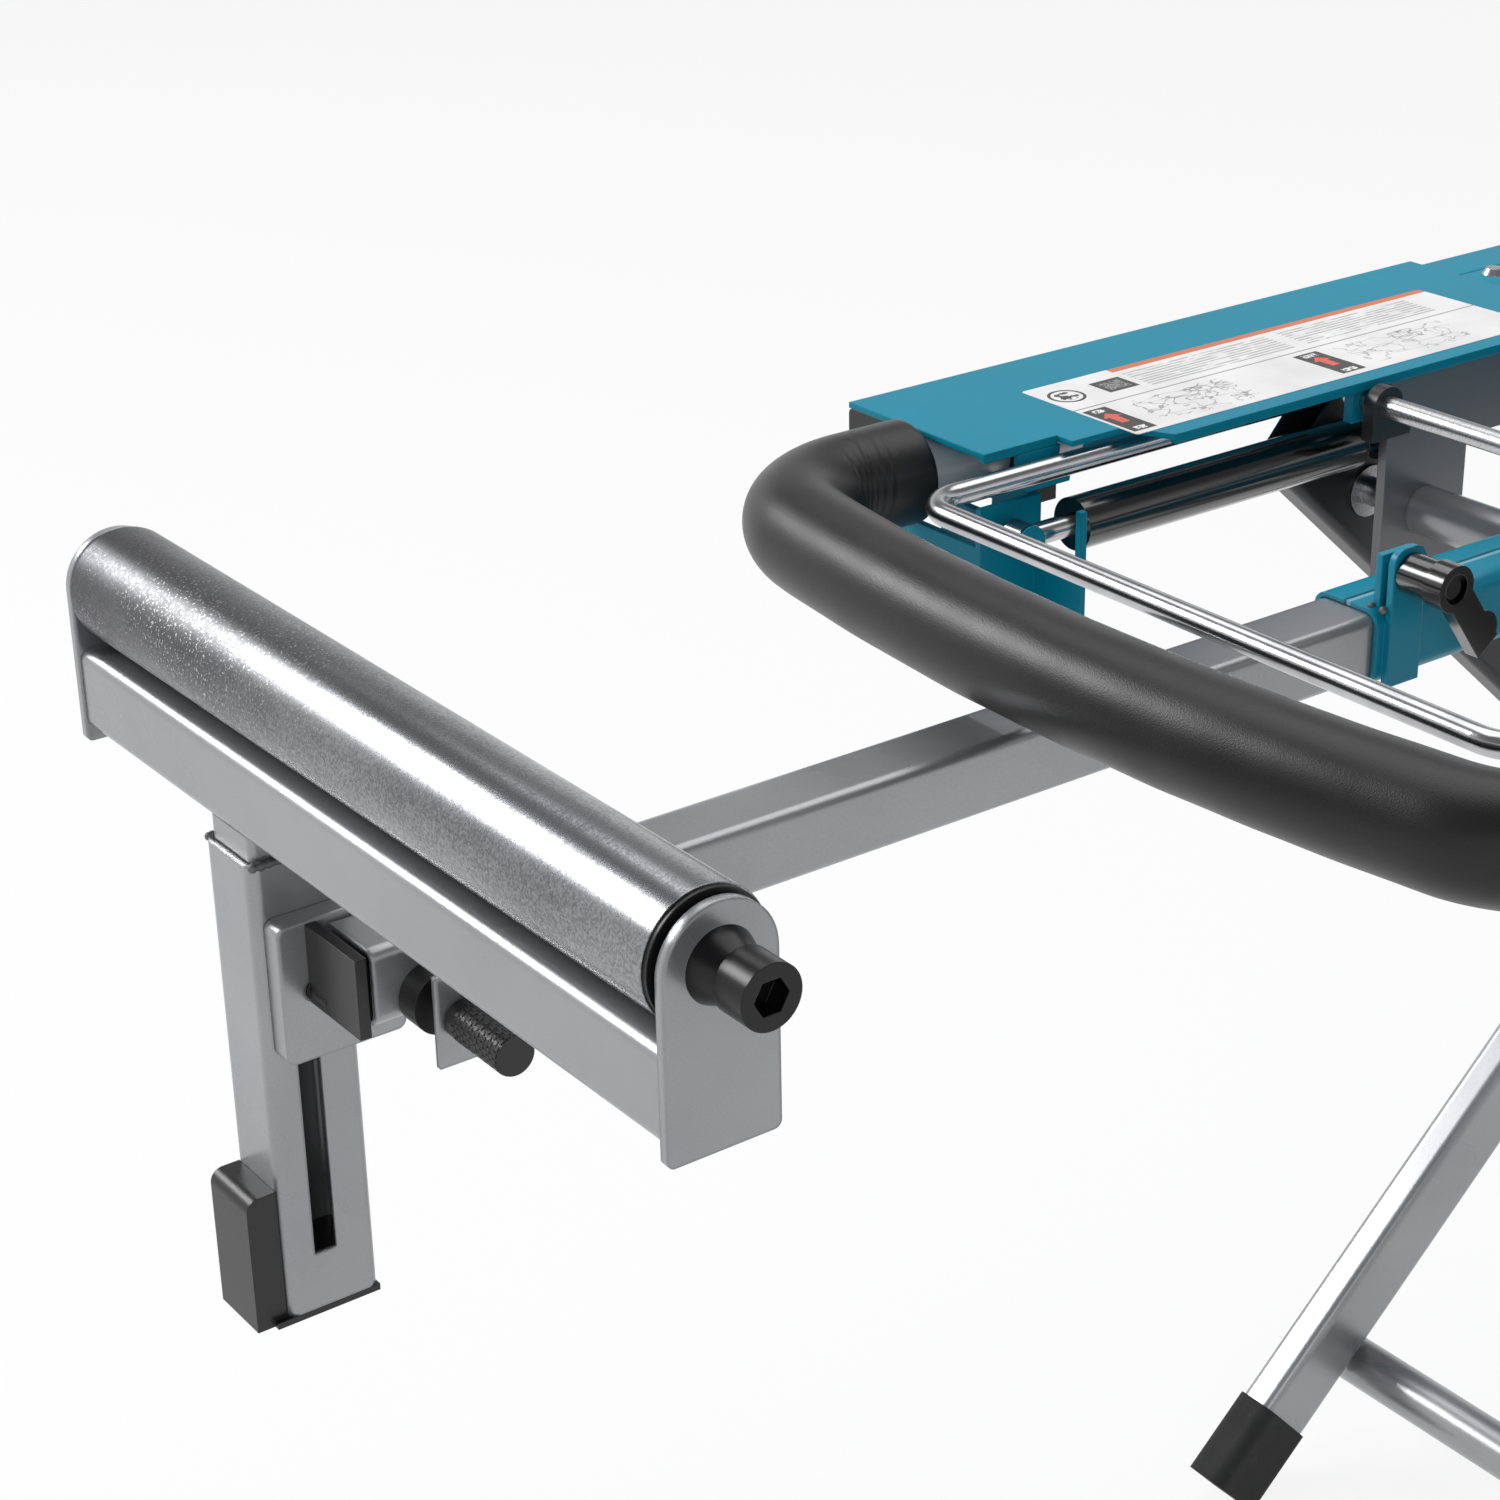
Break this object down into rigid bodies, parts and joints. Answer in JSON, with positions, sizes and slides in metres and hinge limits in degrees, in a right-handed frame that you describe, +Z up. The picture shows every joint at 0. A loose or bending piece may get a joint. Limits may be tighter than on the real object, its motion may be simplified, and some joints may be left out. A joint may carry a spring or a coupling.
{
  "type": "miter saw stand",
  "caption": "Folding wheeled miter saw stand with extending roller arms, foam pull handle, release bail, scissor legs and sliding saw brackets.",
  "frame": {"origin": "on the floor under the middle of the open stand", "axes": "+X away from the handle along the rails, +Y across the stand, +Z up"},
  "size_m": [2.306, 0.722, 0.858],
  "materials": {
    "teal_paint": "smooth satin powder coat",
    "silver_paint": "satin silver-grey paint",
    "zinc": "zinc-plated steel, faintly mottled",
    "chrome": "polished wire",
    "dark_paint": "satin dark grey paint",
    "grey_paint": "satin grey paint",
    "foam": "matte closed-cell foam",
    "black_plastic": "moulded black plastic",
    "black_gloss": "gloss black enamel on the strut",
    "black_steel": "black oxide screws",
    "wheel_grey": "moulded grey plastic",
    "tyre": "black rubber"
  },
  "bodies": {
    "frame": {"side_rails": "teal_paint", "top_plates": "teal_paint", "rail_caps": "black_plastic", "cross_beams": "teal_paint", "left_arm_sleeve": "teal_paint", "right_arm_sleeve": "teal_paint", "handle_tube": "silver_paint", "handle_grip": "foam", "handle_clamps": "black_plastic", "strut_bracket": "teal_paint", "leg_brackets": "grey_paint", "leg_tube": "silver_paint", "hinge_pins": "zinc", "slide_tracks": "dark_paint", "bail_guides": "teal_paint", "frame_bolts": "zinc"},
    "bail": {"release_bail": "chrome"},
    "latch": {"latch_shaft": "zinc", "latch_hooks": "dark_paint"},
    "wheel_leg_frame": {"wheel_legs": "dark_paint", "wheel_axle": "zinc", "scissor_pins": "zinc"},
    "foot_leg_frame": {"foot_legs": "silver_paint", "foot_tube": "silver_paint", "rubber_feet": "tyre", "slide_rollers": "black_plastic"},
    "far_wheel_body": {"far_wheel": "wheel_grey", "far_tyre": "tyre"},
    "near_wheel_body": {"near_wheel": "wheel_grey", "near_tyre": "tyre"},
    "strut_rod_body": {"strut_rod": "chrome"},
    "strut_cylinder_body": {"strut_cylinder": "black_gloss"},
    "left_saw_bracket_body": {"left_saw_bracket": "teal_paint"},
    "left_lever_body": {"left_bracket_lever": "black_plastic"},
    "right_saw_bracket_body": {"right_saw_bracket": "teal_paint"},
    "right_lever_body": {"right_bracket_lever": "black_plastic"},
    "left_arm_body": {"left_arm": "silver_paint", "left_saddle": "silver_paint"},
    "left_post_body": {"left_post": "silver_paint", "left_post_stop": "black_plastic", "left_roller_bar": "silver_paint", "left_roller_plates": "silver_paint", "left_axle_screws": "black_steel"},
    "left_roller_body": {"left_roller": "zinc", "left_roller_caps": "black_plastic"},
    "left_flag_body": {"left_flag_knob": "black_plastic"},
    "left_pin_body": {"left_pull_pin": "black_plastic"},
    "left_clamp_body": {"left_clamp_knob": "black_plastic"},
    "right_arm_body": {"right_arm": "silver_paint", "right_saddle": "silver_paint"},
    "right_post_body": {"right_post": "silver_paint", "right_post_stop": "black_plastic", "right_roller_bar": "silver_paint", "right_roller_plates": "silver_paint", "right_axle_screws": "black_steel"},
    "right_roller_body": {"right_roller": "zinc", "right_roller_caps": "black_plastic"},
    "right_flag_body": {"right_flag_knob": "black_plastic"},
    "right_pin_body": {"right_pull_pin": "black_plastic"},
    "right_clamp_body": {"right_clamp_knob": "black_plastic"}
  },
  "joints": [
    {"name": "legs_fold", "type": "hinge", "parent": "frame", "child": "wheel_leg_frame", "pos_m": [-0.37232, 0, 0.71], "axis": [0, -1, 0], "range_deg": [0, 41]},
    {"name": "legs_scissor", "type": "hinge", "parent": "wheel_leg_frame", "child": "foot_leg_frame", "pos_m": [0, 0, 0.37477], "axis": [0, -1, 0], "range_deg": [-82, 0]},
    {"name": "far_wheel_spin", "type": "hinge", "parent": "wheel_leg_frame", "child": "far_wheel_body", "pos_m": [0.23043, 0.334, 0.1], "axis": [0, 1, 0], "continuous": true},
    {"name": "near_wheel_spin", "type": "hinge", "parent": "wheel_leg_frame", "child": "near_wheel_body", "pos_m": [0.23043, -0.334, 0.1], "axis": [0, 1, 0], "continuous": true},
    {"name": "strut_tilt", "type": "hinge", "parent": "frame", "child": "strut_rod_body", "pos_m": [-0.646, 0.185, 0.751], "axis": [0, -1, 0], "range_deg": [-5.6, 0]},
    {"name": "strut_slide", "type": "slide", "parent": "strut_rod_body", "child": "strut_cylinder_body", "axis": [1, 0, 0], "range_m": [-0.023, 0]},
    {"name": "bail_pull", "type": "slide", "parent": "frame", "child": "bail", "axis": [-1, 0, 0], "range_m": [0, 0.025], "stiffness_N_per_m": 300, "springref_m": -0.02},
    {"name": "latch_turn", "type": "hinge", "parent": "frame", "child": "latch", "pos_m": [-0.42232, 0, 0.783], "axis": [0, 1, 0], "range_deg": [0, 20]},
    {"name": "left_bracket_slide", "type": "slide", "parent": "frame", "child": "left_saw_bracket_body", "axis": [1, 0, 0], "range_m": [-0.1, 0.1]},
    {"name": "left_lever_turn", "type": "hinge", "parent": "left_saw_bracket_body", "child": "left_lever_body", "pos_m": [-0.04, -0.3135, 0.8123], "axis": [0, -1, 0], "range_deg": [0, 90]},
    {"name": "right_bracket_slide", "type": "slide", "parent": "frame", "child": "right_saw_bracket_body", "axis": [1, 0, 0], "range_m": [-0.1, 0.1]},
    {"name": "right_lever_turn", "type": "hinge", "parent": "right_saw_bracket_body", "child": "right_lever_body", "pos_m": [0.3, -0.3135, 0.8123], "axis": [0, -1, 0], "range_deg": [0, 90]},
    {"name": "left_arm_slide", "type": "slide", "parent": "frame", "child": "left_arm_body", "axis": [1, 0, 0], "range_m": [-0.08, 0.27]},
    {"name": "left_post_lift", "type": "slide", "parent": "left_arm_body", "child": "left_post_body", "axis": [0, 0, 1], "range_m": [0, 0.12]},
    {"name": "left_roller_spin", "type": "hinge", "parent": "left_post_body", "child": "left_roller_body", "pos_m": [-1.116, 0, 0.833], "axis": [0, 1, 0], "continuous": true},
    {"name": "left_flag_turn", "type": "hinge", "parent": "left_arm_body", "child": "left_flag_body", "pos_m": [-1.12, 0.06, 0.706], "axis": [0, -1, 0], "range_deg": [0, 100]},
    {"name": "left_pin_pull", "type": "slide", "parent": "left_arm_body", "child": "left_pin_body", "axis": [0, -1, 0], "range_m": [0, 0.01], "stiffness_N_per_m": 400, "springref_m": -0.01},
    {"name": "left_clamp_turn", "type": "hinge", "parent": "frame", "child": "left_clamp_body", "pos_m": [-0.54, 0, 0.756], "axis": [0, 1, 0], "continuous": true},
    {"name": "right_arm_slide", "type": "slide", "parent": "frame", "child": "right_arm_body", "axis": [-1, 0, 0], "range_m": [-0.08, 0.27]},
    {"name": "right_post_lift", "type": "slide", "parent": "right_arm_body", "child": "right_post_body", "axis": [0, 0, 1], "range_m": [0, 0.12]},
    {"name": "right_roller_spin", "type": "hinge", "parent": "right_post_body", "child": "right_roller_body", "pos_m": [1.116, 0, 0.833], "axis": [0, -1, 0], "continuous": true},
    {"name": "right_flag_turn", "type": "hinge", "parent": "right_arm_body", "child": "right_flag_body", "pos_m": [1.12, -0.06, 0.706], "axis": [0, 1, 0], "range_deg": [0, 100]},
    {"name": "right_pin_pull", "type": "slide", "parent": "right_arm_body", "child": "right_pin_body", "axis": [0, 1, 0], "range_m": [0, 0.01], "stiffness_N_per_m": 400, "springref_m": -0.01},
    {"name": "right_clamp_turn", "type": "hinge", "parent": "frame", "child": "right_clamp_body", "pos_m": [0.54, 0, 0.756], "axis": [0, -1, 0], "continuous": true}
  ],
  "couplings": [
    {"joint": "legs_scissor", "follows": "legs_fold", "ratio": -2},
    {"joint": "strut_tilt", "follows": "legs_fold", "ratio": -0.1353},
    {"joint": "strut_slide", "follows": "legs_fold", "m_per_rad": -0.03187},
    {"joint": "latch_turn", "follows": "bail_pull", "rad_per_m": 13.9}
  ]
}
